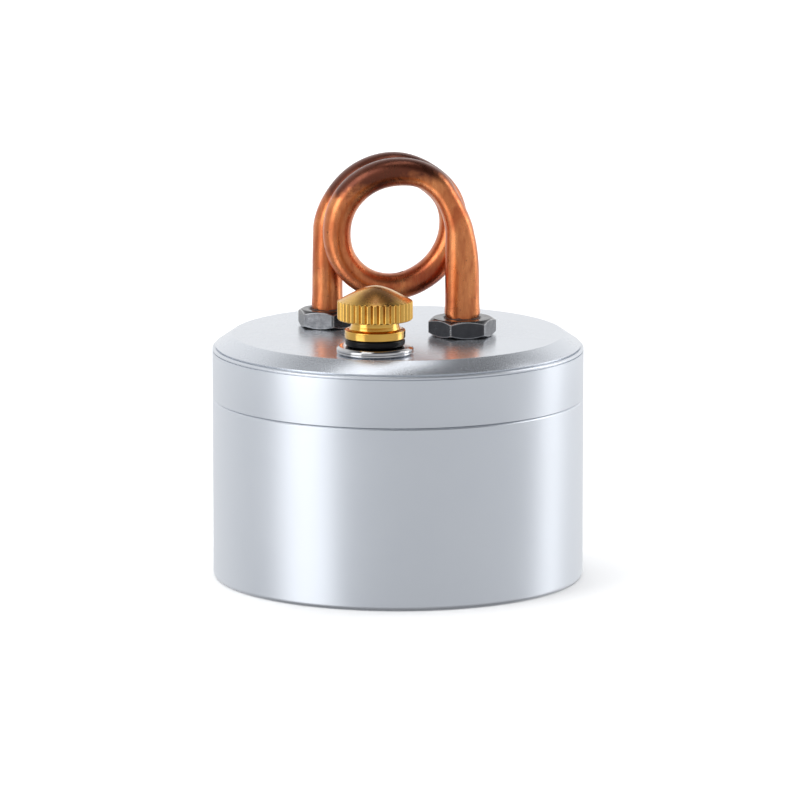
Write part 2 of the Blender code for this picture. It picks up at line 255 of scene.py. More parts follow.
def floor_look():
    """Pale paper with a faint grain. It glows a little far out, where the soft lights don't reach."""
    made, tree, shader = principled("floor_paint", roughness=0.9, emission_color=(1, 1, 1, 1))
    grain = noise(tree, place(tree), 40, 3)
    away = add(tree, "VectorMath", {0: place(tree)}, operation="LENGTH").outputs["Value"]
    feed(
        tree, shader,
        base_color=blend(tree, grain, (0.9, 0.9, 0.9), (0.93, 0.93, 0.93)),
        emission_strength=remap(tree, away, 0.25, 1.1, 0, 0.6),
    )
    return made


def satin_aluminium(name, side, top, grain):
    """Bead-blasted, anodised aluminium: soft blotches and a very fine grain, smoother on the lid's top."""
    made, tree, shader = principled(name, metallic=0.92)
    cloud = noise(tree, place(tree), 70, 3, 0.55)
    fine = noise(tree, place(tree), 5200, 2, 0.6)
    colour = blend(tree, cloud, (0.655, 0.69, 0.745), (0.70, 0.73, 0.775))
    height = add(tree, "SeparateXYZ", {0: place(tree)}).outputs["Z"]
    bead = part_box("lid")[1].z - 2.2 * MM
    rough = remap(tree, height, bead - 0.1 * MM, bead + 0.1 * MM, side, top)
    rough = total(tree, rough, remap(tree, cloud, 0.3, 0.7, -0.02, 0.02))
    rough = total(tree, rough, remap(tree, fine, 0.2, 0.8, -0.02, 0.02))
    feed(tree, shader, base_color=colour, roughness=rough)
    bump(tree, shader, fine, grain, 0.02 * MM)
    return made


def copper_look():
    """Drawn copper tube: warm streaks and pits, painted shade and copper-on-copper reflection darkening
    the loop to deep red low on its right side, and browned at the crest.
    """
    made, tree, shader = principled("copper", metallic=0.95, coat_weight=0.2, coat_roughness=0.25)
    spot = place(tree)
    broad = noise(tree, spot, 160, 4, 0.6, 0.4)
    fine = noise(tree, spot, 1500, 4, 0.65)
    streak = noise(tree, place(tree, (1, 1, 0.22)), 1100, 3, 0.6)
    colour = blend(tree, remap(tree, broad, 0.35, 0.65, 0, 1), (0.79, 0.29, 0.106), (0.59, 0.153, 0.048))
    colour = blend(tree, remap(tree, streak, 0.42, 0.72, 0, 0.65), colour, (0.4, 0.085, 0.03))
    colour = blend(tree, remap(tree, fine, 0.62, 0.74, 0, 0.8), colour, (0.13, 0.035, 0.02))
    axes = add(tree, "SeparateXYZ", {0: spot})
    height = total(tree, axes.outputs["Z"], remap(tree, broad, 0.3, 0.7, -2 * MM, 2 * MM))
    # Painted shade and painted copper-on-copper reflection: a deep red darkening low on the loop's right
    # side
    low = remap(tree, height, 54 * MM, 51 * MM, 0, 0.7)
    low = product(tree, low, remap(tree, height, 46.5 * MM, 49 * MM, 0, 1))
    low = product(tree, low, remap(tree, axes.outputs["X"], -3 * MM, 4 * MM, 0.3, 1))
    low = product(tree, low, remap(tree, axes.outputs["X"], 7 * MM, 8.5 * MM, 1, 0))
    colour = blend(tree, low, colour, (0.27, 0.035, 0.016))
    lean = remap(tree, axes.outputs["X"], -9 * MM, 1 * MM, 2.6 * MM, 0)
    crest = remap(tree, total(tree, height, lean), 65.3 * MM, 68 * MM, 0, 0.95)
    colour = blend(tree, crest, colour, (0.115, 0.03, 0.017))
    feed(tree, shader, base_color=colour, roughness=remap(tree, streak, 0.3, 0.75, 0.22, 0.4))
    pitted = bump(tree, shader, fine, 0.3, 0.03 * MM)
    bump(tree, shader, broad, 0.35, 0.15 * MM, pitted)
    return made


def oxide_look():
    """Dark glossy oxide over steel, worn to bright metal along the edges, with a painted highlight on one
    face of a nut.
    """
    made, tree, shader = principled("black_oxide", metallic=1.0)
    mottle = noise(tree, place(tree), 900, 4, 0.6)
    # Bright metal where the edges are worn, and a painted highlight on the chosen face
    edge = product(tree, wear_and_sheen(tree), remap(tree, mottle, 0.3, 0.62, 0.5, 0.95))
    colour = blend(tree, mottle, (0.05, 0.05, 0.055), (0.1, 0.1, 0.105))
    colour = blend(tree, edge, colour, (0.52, 0.52, 0.53))
    feed(tree, shader, base_color=colour, roughness=remap(tree, mottle, 0.25, 0.75, 0.16, 0.3))
    bump(tree, shader, mottle, 0.3, 0.03 * MM)
    return made


def zinc_look():
    """Bright zinc plate with a faint blotchy sheen."""
    made, tree, shader = principled("zinc_steel", metallic=1.0)
    cloud = noise(tree, place(tree), 420, 4, 0.6)
    feed(
        tree, shader,
        base_color=blend(tree, cloud, (0.55, 0.56, 0.57), (0.72, 0.73, 0.73)),
        roughness=remap(tree, cloud, 0.3, 0.7, 0.22, 0.38),
    )
    bump(tree, shader, noise(tree, place(tree), 3000, 2), 0.2, 0.01 * MM)
    return made


def chrome_look():
    """Mirror chrome with a trace of polishing haze."""
    made, tree, shader = principled("chrome", metallic=1.0)
    haze = noise(tree, place(tree), 700, 3, 0.6)
    feed(
        tree, shader,
        base_color=blend(tree, haze, (0.5, 0.5, 0.51), (0.64, 0.64, 0.65)),
        roughness=remap(tree, haze, 0.3, 0.7, 0.08, 0.15),
    )
    bump(tree, shader, noise(tree, place(tree), 350, 2), 0.15, 0.02 * MM)
    return made


def brass_look():
    """Turned brass: fine rings from the lathe, a warm uneven lacquer, and a painted dark reflection on the
    dome's front.
    """
    made, tree, shader = principled("brass", metallic=1.0, coat_weight=0.25, coat_roughness=0.12)
    low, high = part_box("filler_cap")
    centre = (low + high) / 2
    spot = place(tree)
    flat = add(tree, "VectorMath", {0: spot, 1: (centre.x, centre.y, 0)}, operation="SUBTRACT").outputs[0]
    flat = add(tree, "VectorMath", {0: flat, 1: (1, 1, 0)}, operation="MULTIPLY").outputs[0]
    radius = add(tree, "VectorMath", {0: flat}, operation="LENGTH").outputs["Value"]
    height = add(tree, "SeparateXYZ", {0: spot}).outputs["Z"]
    across = add(tree, "CombineXYZ", {"X": radius, "Y": height}).outputs[0]
    rings = noise(tree, across, 6500, 3, 0.7)
    cloud = noise(tree, spot, 260, 3, 0.6)
    colour = blend(tree, cloud, (0.84, 0.52, 0.125), (0.74, 0.41, 0.08))
    colour = blend(tree, remap(tree, rings, 0.5, 0.75, 0, 0.45), colour, (0.45, 0.22, 0.05))
    # Painted reflection: a dark brown patch on the dome's front stands in for a dark reflection there
    painted_reflection_at = Vector((centre.x + 0.7 * MM, centre.y - 3.5 * MM, high.z - 1.5 * MM))
    away = add(tree, "VectorMath", {0: spot, 1: painted_reflection_at}, operation="DISTANCE").outputs["Value"]
    away = total(tree, away, remap(tree, cloud, 0.3, 0.7, -0.8 * MM, 0.8 * MM))
    colour = blend(tree, remap(tree, away, 2 * MM, 3.9 * MM, 0.8, 0), colour, (0.29, 0.105, 0.028))
    dome_foot = high.z - 2.4 * MM
    satin = remap(tree, height, dome_foot, dome_foot + 0.2 * MM, 0, 0.09)
    rough = total(tree, remap(tree, cloud, 0.3, 0.7, 0.13, 0.22), satin)
    feed(tree, shader, base_color=colour, roughness=rough)
    bump(tree, shader, rings, 0.35, 0.02 * MM)
    return made


def rubber_look():
    """Black nitrile rubber with a fine skin."""
    made, tree, shader = principled("rubber", metallic=0.0, ior=1.2)
    fine = noise(tree, place(tree), 2400, 3)
    feed(
        tree, shader,
        base_color=blend(tree, fine, (0.004, 0.004, 0.005), (0.009, 0.009, 0.01)),
        roughness=remap(tree, fine, 0.3, 0.7, 0.14, 0.24),
    )
    bump(tree, shader, fine, 0.2, 0.02 * MM)
    return made


def fibre_look():
    """Red vulcanised fibre, matte and a little felted."""
    made, tree, shader = principled("red_fibre", metallic=0.0)
    felt = noise(tree, place(tree, (1, 1, 3)), 1600, 5, 0.7)
    feed(
        tree, shader,
        base_color=blend(tree, felt, (0.32, 0.06, 0.035), (0.5, 0.13, 0.08)),
        roughness=remap(tree, felt, 0.3, 0.7, 0.65, 0.85),
    )
    bump(tree, shader, felt, 0.5, 0.05 * MM)
    return made


def cotton_look():
    """Loose cotton yarn."""
    made, tree, shader = principled("cotton", metallic=0.0, sheen_weight=0.4)
    hair = noise(tree, place(tree, (1, 1, 0.3)), 4200, 4, 0.7)
    feed(
        tree, shader,
        base_color=blend(tree, hair, (0.72, 0.67, 0.57), (0.9, 0.87, 0.8)),
        roughness=remap(tree, hair, 0.3, 0.7, 0.8, 0.95),
    )
    bump(tree, shader, hair, 0.6, 0.08 * MM)
    return made


def sealant_look():
    """Dark burnt sealant, lumpy and dull."""
    made, tree, shader = principled("sealant", metallic=0.0)
    lump = noise(tree, place(tree), 2600, 4, 0.7)
    feed(
        tree, shader,
        base_color=blend(tree, lump, (0.015, 0.009, 0.007), (0.09, 0.04, 0.025)),
        roughness=remap(tree, lump, 0.3, 0.7, 0.45, 0.75),
    )
    bump(tree, shader, lump, 0.7, 0.1 * MM)
    return made


# --- Shapes -------------------------------------------------------------------------------------


def paint(obj, look):
    obj.data.materials.clear()
    obj.data.materials.append(look)


def eased(outline, steps=5):
    """An outline of (r, z, fillet radius) as plain points, with an arc at each filleted corner."""
    points = []
    count = len(outline)
    for i, (r, z, fillet) in enumerate(outline):
        here = Vector((r, z))
        before = Vector(outline[i - 1][:2]) - here
        after = Vector(outline[(i + 1) % count][:2]) - here
        ends = i in (0, count - 1) and outline[0][0] * outline[-1][0] == 0
        if not fillet or ends:
            points.append((r, z))
            continue
        half = before.angle(after) / 2
        reach = min(fillet / math.tan(half), 0.49 * before.length, 0.49 * after.length)
        radius = reach * math.tan(half)
        middle = here + (before.normalized() + after.normalized()).normalized() * (radius / math.sin(half))
        first = here + before.normalized() * reach - middle
        last = here + after.normalized() * reach - middle
        sweep = first.angle_signed(last)
        for step in range(steps + 1):
            turn = -sweep * step / steps
            c, s = math.cos(turn), math.sin(turn)
            points.append((middle.x + c * first.x - s * first.y, middle.y + s * first.x + c * first.y))
    return points


def ring_of(angles, radius, z, at=(0, 0)):
    """Points at some angles. Radius and height are numbers or functions of the angle."""
    found = []
    for angle in angles:
        r = radius(angle) if callable(radius) else radius
        h = z(angle) if callable(z) else z
        found.append((at[0] + r * math.cos(angle), at[1] + r * math.sin(angle), h))
    return found


def even(count):
    return [math.tau * i / count for i in range(count)]


def skin(name, rings, ring_shaped=False, wear_and_sheen_shares=None):
    """One closed mesh through equal rings, capped at both ends or closed on itself.

    Where a share is given for each point, ring by ring, the mesh carries it as an attribute, for worn
    edges and for painted highlights.
    """
    mesh = bmesh.new()
    rows = [[mesh.verts.new(point) for point in ring] for ring in rings]
    pairs = list(zip(rows, rows[1:]))
    if ring_shaped:
        pairs.append((rows[-1], rows[0]))
    else:
        mesh.faces.new(rows[0])
        mesh.faces.new(rows[-1])
    for a, b in pairs:
        for i in range(len(a)):
            j = (i + 1) % len(a)
            mesh.faces.new((a[i], a[j], b[j], b[i]))
    bmesh.ops.recalc_face_normals(mesh, faces=mesh.faces)
    data = bpy.data.meshes.new(name)
    mesh.to_mesh(data)
    mesh.free()
    if wear_and_sheen_shares is not None:
        layer = data.attributes.new("wear_and_sheen", "FLOAT", "POINT")
        layer.data.foreach_set("value", [share for row in wear_and_sheen_shares for share in row])
    data.shade_smooth()
    data.set_sharp_from_angle(angle=SHARP)
    return link(bpy.data.objects.new(name, data))


def drilled(obj, holes):
    """Cuts round holes along Z, each (x, y, radius, low, high), and keeps the result as the mesh."""
    cutters = []
    for x, y, radius, low, high in holes:
        rings = [ring_of(even(64), radius, z, (x, y)) for z in (low, high)]
        cutter = skin("cutter", rings)
        cutters.append(cutter)
        cut = obj.modifiers.new("cut", "BOOLEAN")
        cut.operation = "DIFFERENCE"
        cut.solver = "EXACT"
        cut.object = cutter
    graph = bpy.context.evaluated_depsgraph_get()
    data = bpy.data.meshes.new_from_object(obj.evaluated_get(graph))
    obj.modifiers.clear()
    obj.data = data
    data.shade_smooth()
    data.set_sharp_from_angle(angle=SHARP)
    for cutter in cutters:
        bpy.data.objects.remove(cutter)


def finish(piece, node, body, look):
    paint(piece, look)
    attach(piece, body)
    if node:
        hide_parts(node)
    return piece


def centre_of(node):
    low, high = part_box(node)
    return ((low.x + high.x) / 2, (low.y + high.y) / 2)


def turned_ring(name, outline, at, sides=128):
    """A ring-shaped turned piece."""
    rings = [ring_of(even(sides), r, z, at) for r, z in eased(outline)]
    return skin(name, rings, ring_shaped=True)


def flat_ring(name, node, radii, edge, sides=96):
    """A washer, gasket or seal with eased edges, at the height of its node."""
    low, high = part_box(node)
    outline = [
        (radii[0], low.z, edge),
        (radii[1], low.z, edge),
        (radii[1], high.z, edge),
        (radii[0], high.z, edge),
    ]
    return turned_ring(name, outline, centre_of(node), sides)


def smooth(share):
    return share * share * (3 - 2 * share)


def thread_radius(root, crest, pitch, z, angle, ridge, shift):
    turn = z / pitch - angle / math.tau + shift
    away = abs(turn - math.floor(turn) - 0.5)
    share = min(max((ridge[1] - away) / (ridge[1] - ridge[0]), 0), 1)
    return root + (crest - root) * smooth(share)


def thread_rings(radii, span, pitch, sides, ridge, shift, at=(0, 0)):
    """Rings up a right-handed thread, which runs out softly at both ends.

    The radii are the root's and the crest's, and the ridge is half its crest and half its foot, as
    shares of the pitch.
    """
    steps = 16
    count = round((span[1] - span[0]) / pitch * steps)
    rings = []
    for row in range(count + 1):
        z = span[0] + (span[1] - span[0]) * row / count
        fade = min(row, count - row, steps / 2) / (steps / 2)
        crest = radii[0] + (radii[1] - radii[0]) * fade

        def radius(angle, z=z, crest=crest):
            return thread_radius(radii[0], crest, pitch, z, angle, ridge, shift)

        rings.append(ring_of(even(sides), radius, z, at))
    return rings


# --- Pot ----------------------------------------------------------------------------------------

BODY_SIDES = 256
SEAM = 0.07 * MM
# The gap under what sits on the lid
SEAT_GAP = 0.02 * MM
LID_PITCH = 2.0 * MM
LID_MALE = (28.7 * MM, 29.35 * MM)
LID_FEMALE = (29.65 * MM, 29.0 * MM)
MALE_RIDGE = (0.13, 0.25)
FEMALE_RIDGE = (0.1, 0.2)
BORE_R = 27.2 * MM
FLOOR = 2.5 * MM
LEG_HOLE_R = 2.9 * MM
FILLER_HOLE_R = 4.3 * MM


def cup(look):
    """The lower pot: rounded foot, eased shoulder, threaded neck and a deep bore."""
    low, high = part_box("fuel_cup")
    wall = (high.x - low.x) / 2
    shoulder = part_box("lid")[0].z - SEAM
    root = LID_MALE[0]
    outside = eased([
        (TIP, 0, 0),
        (wall, 0, 0.8 * MM),
        (wall, shoulder - 0.28 * MM, 0.08 * MM),
        (wall - 0.24 * MM, shoulder, 0.1 * MM),
        (root, shoulder, 0.1 * MM),
        (root, shoulder + 0.2 * MM, 0),
    ])
    inside = eased([
        (root, high.z - 0.7 * MM, 0),
        (root, high.z - 0.45 * MM, 0.1 * MM),
        (root - 0.45 * MM, high.z, 0.12 * MM),
        (BORE_R, high.z, 0.2 * MM),
        (BORE_R, FLOOR, 1.0 * MM),
        (TIP, FLOOR, 0),
    ])
    angles = even(BODY_SIDES)
    rings = [ring_of(angles, r, z) for r, z in outside]
    span = (shoulder + 0.4 * MM, high.z - 0.8 * MM)
    rings += thread_rings(LID_MALE, span, LID_PITCH, BODY_SIDES, MALE_RIDGE, 0)
    rings += [ring_of(angles, r, z) for r, z in inside]
    finish(skin("cup_body", rings), "fuel_cup", "cup", look)


def lid(look):
    """The upper pot: flat top, bevel, step, round bead and fine groove, and a threaded skirt."""
    low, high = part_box("lid")
    wall = (high.x - low.x) / 2
    top = high.z
    plate = top - 2.8 * MM
    root = LID_FEMALE[0]
    outside = eased([
        (TIP, top, 0),
        (wall - 3.3 * MM, top, 0.25 * MM),
        (wall - 0.4 * MM, top - 1.95 * MM, 0.05 * MM),
        (wall - 0.75 * MM, top - 2.0 * MM, 0.03 * MM),
        (wall - 0.75 * MM, top - 2.15 * MM, 0.03 * MM),
        (wall - 0.22 * MM, top - 2.18 * MM, 0.06 * MM),
        (wall, top - 2.4 * MM, 0.2 * MM),
        (wall, top - 2.62 * MM, 0.03 * MM),
        (wall - 0.25 * MM, top - 2.65 * MM, 0.02 * MM),
        (wall - 0.25 * MM, top - 2.75 * MM, 0.02 * MM),
        (wall, top - 2.78 * MM, 0.03 * MM),
        (wall, low.z, 0.1 * MM),
        (root + 0.35 * MM, low.z, 0.1 * MM),
        (root, low.z + 0.35 * MM, 0),
    ])
    inside = eased([(root, plate - 1.1 * MM, 0), (root, plate, 0.3 * MM), (TIP, plate, 0)])
    angles = even(BODY_SIDES)
    rings = [ring_of(angles, r, z) for r, z in outside]
    span = (low.z + 0.5 * MM, plate - 1.2 * MM)
    rings += thread_rings(LID_FEMALE, span, LID_PITCH, BODY_SIDES, FEMALE_RIDGE, 0.5)
    rings += [ring_of(angles, r, z) for r, z in inside]
    piece = skin("lid_body", rings)
    span = (plate - 1 * MM, top + 1 * MM)
    holes = [(*centre_of(f"tube_nut_{side}"), LEG_HOLE_R, *span) for side in ("right", "left")]
    holes.append((*centre_of("filler_bushing"), FILLER_HOLE_R, *span))
    drilled(piece, holes)
    finish(piece, "lid", "lid", look)


# --- Jet coil -----------------------------------------------------------------------------------

TUBE_R = 2.6 * MM
TUBE_WALL = 0.8 * MM
TUBE_SIDES = 48
# How much of a bend's squeeze across the loop comes back as width along Y
TUBE_SPREAD = 0.3
COIL_AT = (-0.35 * MM, 57.75 * MM)
COIL_Y = -2.12 * MM
COIL_PITCH = 6.1 * MM
COIL_STEP_DEG = 2.5
# Degrees round the coil, radius of the tube's centreline, half width of the squeezed tube
COIL_TURNS = (
    (0, 10.62 * MM, 2.42 * MM),
    (20, 10.35 * MM, 2.1 * MM),
    (35, 10.45 * MM, 2.0 * MM),
    (50, 10.78 * MM, 2.15 * MM),
    (65, 10.8 * MM, 2.2 * MM),
    (90, 10.35 * MM, 2.36 * MM),
    (120, 10.02 * MM, 2.39 * MM),
    (150, 9.9 * MM, 2.4 * MM),
    (180, 9.85 * MM, 2.33 * MM),
    (210, 9.96 * MM, 2.24 * MM),
    (240, 9.8 * MM, 2.2 * MM),
    (270, 9.35 * MM, 2.22 * MM),
    (300, 8.92 * MM, 2.27 * MM),
    (330, 9.0 * MM, 2.34 * MM),
    (360, 9.48 * MM, 2.34 * MM),
    (390, 10.1 * MM, 2.34 * MM),
    (420, 10.15 * MM, 2.34 * MM),
    (450, 10.5 * MM, 2.34 * MM),
    (480, 10.58 * MM, 2.34 * MM),
    (510, 10.78 * MM, 2.36 * MM),
    (540, 11.45 * MM, 2.43 * MM),
)
LEG_SEAT = 43.6 * MM
LEG_BEND = 44.8 * MM
LEG_HALF = {"right": 2.86 * MM, "left": 2.56 * MM}
FLARE = 0.1 * MM
JET_R = 0.45 * MM
JET_AT = (0.5 * MM, 2.6 * MM)
JET_Z = (48.8 * MM, 51.6 * MM)


def coil_value(degrees, column):
    """A column of the coil's table at an angle, on a smooth curve through its rows."""
    rows = COIL_TURNS
    last = len(rows) - 1
    i = max(k for k in range(last) if rows[k][0] <= degrees)
    slopes = []
    for k in (i, i + 1):
        before = rows[max(k - 1, 0)]
        after = rows[min(k + 1, last)]
        slopes.append((after[column] - before[column]) / (after[0] - before[0]))
    gap = rows[i + 1][0] - rows[i][0]
    share = (degrees - rows[i][0]) / gap
    rise = rows[i + 1][column] - rows[i][column]
    sway = gap * share * (1 - share) * ((1 - share) * slopes[0] - share * slopes[1])
    return rows[i][column] + rise * smooth(share) + sway


def coil_point(degrees):
    """The tube's centre along the coil, counted from the head of the right leg, and its half width."""
    radius = coil_value(degrees, 1)
    x = COIL_AT[0] + radius * math.cos(math.radians(degrees))
    z = COIL_AT[1] + radius * math.sin(math.radians(degrees))
    late = max(degrees - 450, 0) / 90
    y = COIL_Y + COIL_PITCH * (min(degrees, 450) / 360 + (late - late * late / 2) / 4)
    return x, y, z, coil_value(degrees, 2)


def leg_path(side, head, bend):
    """The centreline of one leg, upwards. It swells at the nut, and its last stretch leans to its head."""
    foot = centre_of(f"tube_nut_{side}")
    half = LEG_HALF[side]
    path = [(*foot, z, TUBE_R) for z in (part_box("jet_coil")[0].z, 20 * MM, 38 * MM, LEG_SEAT)]
    for share in (0.2, 0.5, 0.8):
        z = LEG_SEAT + share * (LEG_BEND - LEG_SEAT)
        path.append((*foot, z, TUBE_R + (half + FLARE - TUBE_R) * smooth(share)))
    steps = 26
    for i in range(steps):
        share = i / steps
        x = foot[0] + (head[0] - foot[0]) * share**bend
        y = foot[1] + (head[1] - foot[1]) * share**2
        z = LEG_BEND + (head[2] - LEG_BEND) * share
        swell = FLARE * math.exp(-((i / 2) ** 2))
        path.append((x, y, z, half + swell + (head[3] - half) * share**bend))
    return path


def coil_path():
    """The tube's centreline and half width: up the right leg, round the coil and down the left leg."""
    path = leg_path("right", coil_point(0), 4)
    path += [coil_point(COIL_STEP_DEG * i) for i in range(round(540 / COIL_STEP_DEG) + 1)]
    path += reversed(leg_path("left", coil_point(540), 2))
    return path


def tube_rings(path, wall, sides):
    """Oval rings along a path that never runs along Y, at a depth below the tube's surface."""
    rings = []
    for i, (*point, half) in enumerate(path):
        before = Vector(path[max(i - 1, 0)][:3])
        after = Vector(path[min(i + 1, len(path) - 1)][:3])
        t = (after - before).normalized()
        u = Vector((t.z, 0, -t.x)).normalized()
        v = t.cross(u)
        across = TUBE_R + TUBE_SPREAD * (TUBE_R - half)
        ring = []
        for angle in even(sides):
            wide = (half - wall) * math.cos(angle)
            deep = (across - wall) * math.sin(angle)
            ring.append(Vector(point) + wide * u + deep * v)
        rings.append(ring)
    return rings


def coil(look):
    """The hollow copper tube, with its jet hole."""
    path = coil_path()
    rings = tube_rings(path, 0, TUBE_SIDES)
    rings += reversed(tube_rings(path, TUBE_WALL, TUBE_SIDES))
    piece = skin("coil_tube", rings, ring_shaped=True)
    drilled(piece, [(*JET_AT, JET_R, *JET_Z)])
    finish(piece, "jet_coil", "lid", look)


def wick(side, look):
    """Three cotton strands laid as a rope inside a leg."""
    node = f"wick_{side}"
    low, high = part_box(node)
    outer = (high.x - low.x) / 2
    rings = []
    count = 120
    for row in range(count + 1):
        share = row / count
        z = low.z + (high.z - low.z) * share
        end = min(share, 1 - share) * count / 6
        shrink = 0.72 + 0.28 * math.sin(math.pi / 2 * min(end, 1))

        def radius(angle, z=z, shrink=shrink):
            strand = abs(math.cos(1.5 * (angle - z / (1.1 * MM))))
            return outer * shrink * (0.78 + 0.2 * strand ** 0.7)

        rings.append(ring_of(even(36), radius, z, centre_of(node)))
    finish(skin(f"wick_rope_{side}", rings), node, "lid", look)


# --- Nuts, washers and seals ----------------------------------------------------------------------

NUT_AF = {"right": 10 * MM, "left": 9 * MM}
NUT_BORE_R = 2.85 * MM
NUT_TURN = {"right": math.radians(10), "left": math.radians(-18)}
CORNER_R = 0.35 * MM
CORNER_DEG = 2.2
CORNER_STEPS = 12
FACE_STEPS = 24
# How worn each row of a nut's outline is, from its lower countersink outside round to the upper one
NUT_WEAR_UP = (0.2,) * 5 + (0.1,) * 5 + (0,) + (0.15,) * 5 + (0,) + (1,) * 5 + (0,)
NUT_WEAR = NUT_WEAR_UP + NUT_WEAR_UP[::-1]
NUT_SIDE_ROWS = (22, 23)
# The face of each nut that gets a painted highlight in place of a soft box's reflection, counted round
# from its right front corner, and how much
NUT_PAINTED_SHEEN = {"right": (0, 0.45), "left": (5, 0.75)}


def hexagon(across, angle):
    """The radius of a hexagon with rounded corners, in a direction counted from a corner."""
    sector = (angle + math.pi / 6) % (math.pi / 3) - math.pi / 6
    middle = (across / 2 - CORNER_R) / math.cos(math.pi / 6)
    tangent = math.atan2(CORNER_R / 2, middle + CORNER_R * math.cos(math.pi / 6))
    if abs(sector) < tangent:
        return middle * math.cos(sector) + math.sqrt(CORNER_R**2 - (middle * math.sin(sector)) ** 2)
    return across / 2 / math.cos(math.pi / 6 - abs(sector))


def hex_nut(name, across, bore, span, at, turn, sheen_face=(0, 0)):
    """A hexagon nut: chamfered corners, eased edges, countersunk bore, worn edges and a painted highlight
    on one face.
    """
    slope = math.tan(math.radians(30))
    rim = across / 2 - 0.2 * MM
    near_corner = math.radians(CORNER_DEG)
    face = math.pi / 3 - 2 * near_corner
    half_steps = CORNER_STEPS // 2
    angles = []
    for corner in range(6):
        turned = math.pi / 3 * corner
        angles += [turned + near_corner * step / half_steps for step in range(-half_steps, half_steps)]
        angles += [turned + near_corner + face * step / FACE_STEPS for step in range(FACE_STEPS)]

    def column(angle):
        r = hexagon(across, angle)
        drop = max(r - rim, 0) * slope
        edge = min(rim, r - 0.03 * MM)
        return eased([
            (bore, span[0] + 0.45 * MM, 0.05 * MM),
            (bore + 0.4 * MM, span[0], 0.08 * MM),
            (rim - 0.4 * MM, span[0], 0),
            (edge, span[0], 0.06 * MM),
            ((edge + r) / 2, span[0] + drop / 2 + 0.01 * MM, 0),
            (r, span[0] + drop + 0.02 * MM, 0.1 * MM),
            (r, span[0] + drop + 0.16 * MM, 0),
            (r, span[1] - drop - 0.16 * MM, 0),
            (r, span[1] - drop - 0.02 * MM, 0.1 * MM),
            ((edge + r) / 2, span[1] - drop / 2 - 0.01 * MM, 0),
            (edge, span[1], 0.06 * MM),
            (rim - 0.4 * MM, span[1], 0),
            (bore + 0.4 * MM, span[1], 0.08 * MM),
            (bore, span[1] - 0.45 * MM, 0.05 * MM),
        ], 4)

    columns = [column(angle) for angle in angles]
    rings = []
    wear_and_sheen_shares = []
    for row, share in enumerate(NUT_WEAR):
        ring = []
        for angle, points in zip(angles, columns):
            r, z = points[row]
            around_nut = angle - math.pi / 3 + turn
            ring.append((at[0] + r * math.cos(around_nut), at[1] + r * math.sin(around_nut), z))
        rings.append(ring)
        shares = []
        for i in range(len(angles)):
            side, step = divmod(i, CORNER_STEPS + FACE_STEPS)
            on_side = row in NUT_SIDE_ROWS
            on_corner = on_side and abs(step - half_steps) <= CORNER_STEPS // 4
            # A painted highlight on one side face, carried along with the edge wear
            on_sheen_face = on_side and side == sheen_face[0] and step >= CORNER_STEPS
            shares.append(max(share, 0.9 * on_corner, sheen_face[1] * on_sheen_face))
        wear_and_sheen_shares.append(shares)
    return skin(name, rings, ring_shaped=True, wear_and_sheen_shares=wear_and_sheen_shares)


def leg_fittings(side, looks):
    """What holds one leg in the lid: nut and sealant above, seal, washer and lock nut below."""
    at = centre_of(f"tube_nut_{side}")
    low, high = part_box(f"tube_nut_{side}")
    across, turn = NUT_AF[side], NUT_TURN[side]
    span = (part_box("lid")[1].z + SEAT_GAP, high.z)
    nut = hex_nut(f"nut_{side}", across, NUT_BORE_R, span, at, turn, NUT_PAINTED_SHEEN[side])
    finish(nut, f"tube_nut_{side}", "lid", looks["oxide"])
    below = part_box(f"lock_nut_{side}")
    lock = hex_nut(f"locking_nut_{side}", across, NUT_BORE_R, (below[0].z, below[1].z), at, turn)
    finish(lock, f"lock_nut_{side}", "lid", looks["zinc"])
    bead = sealant(f"sealant_{side}", at, high.z)
    finish(bead, None, "lid", looks["sealant"])
    seal = flat_ring(f"seal_{side}", f"tube_seal_{side}", (LEG_HOLE_R, 4.8 * MM), 0.15 * MM)
    finish(seal, f"tube_seal_{side}", "lid", looks["fibre"])
    washer = flat_ring(f"washer_{side}", f"flat_washer_{side}", (LEG_HOLE_R, 5.6 * MM), 0.12 * MM)
    finish(washer, f"flat_washer_{side}", "lid", looks["zinc"])
    wick(side, looks["cotton"])


def sealant(name, at, top):
    """A ragged dark bead between the tube and the nut's countersink."""
    rings = []
    section = eased([
        (2.55 * MM, top - 0.5 * MM, 0),
        (3.05 * MM, top - 0.3 * MM, 0.1 * MM),
        (2.92 * MM, top + 0.06 * MM, 0.1 * MM),
        (2.55 * MM, top + 0.14 * MM, 0.1 * MM),
    ])
    for r, z in section:
        high = z > top

        def radius(angle, r=r, high=high):
            return r + 0.07 * MM * math.sin(7 * angle + 40 * at[0] / MM) * high

        def height(angle, z=z, high=high):
            return z + 0.09 * MM * (math.sin(5 * angle + at[0] / MM) + 0.6 * math.sin(13 * angle)) * high

        rings.append(ring_of(even(96), radius, height, at))
    return skin(name, rings, ring_shaped=True)


# --- Filler -------------------------------------------------------------------------------------

CAP_PITCH = 1.25 * MM
CAP_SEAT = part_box("filler_oring")[1].z + 0.17 * MM
CAP_MALE = (2.4 * MM, 2.95 * MM)
CAP_FEMALE = (3.2 * MM, 2.65 * MM)
CAP_SIDES = 128
TEETH = 36
TOOTH_STEPS = 12
HEAD_R = 6.18 * MM
TOOTH_DEPTH = 0.38 * MM
FLANGE_R = 6.3 * MM
SHANK_R = 4.0 * MM


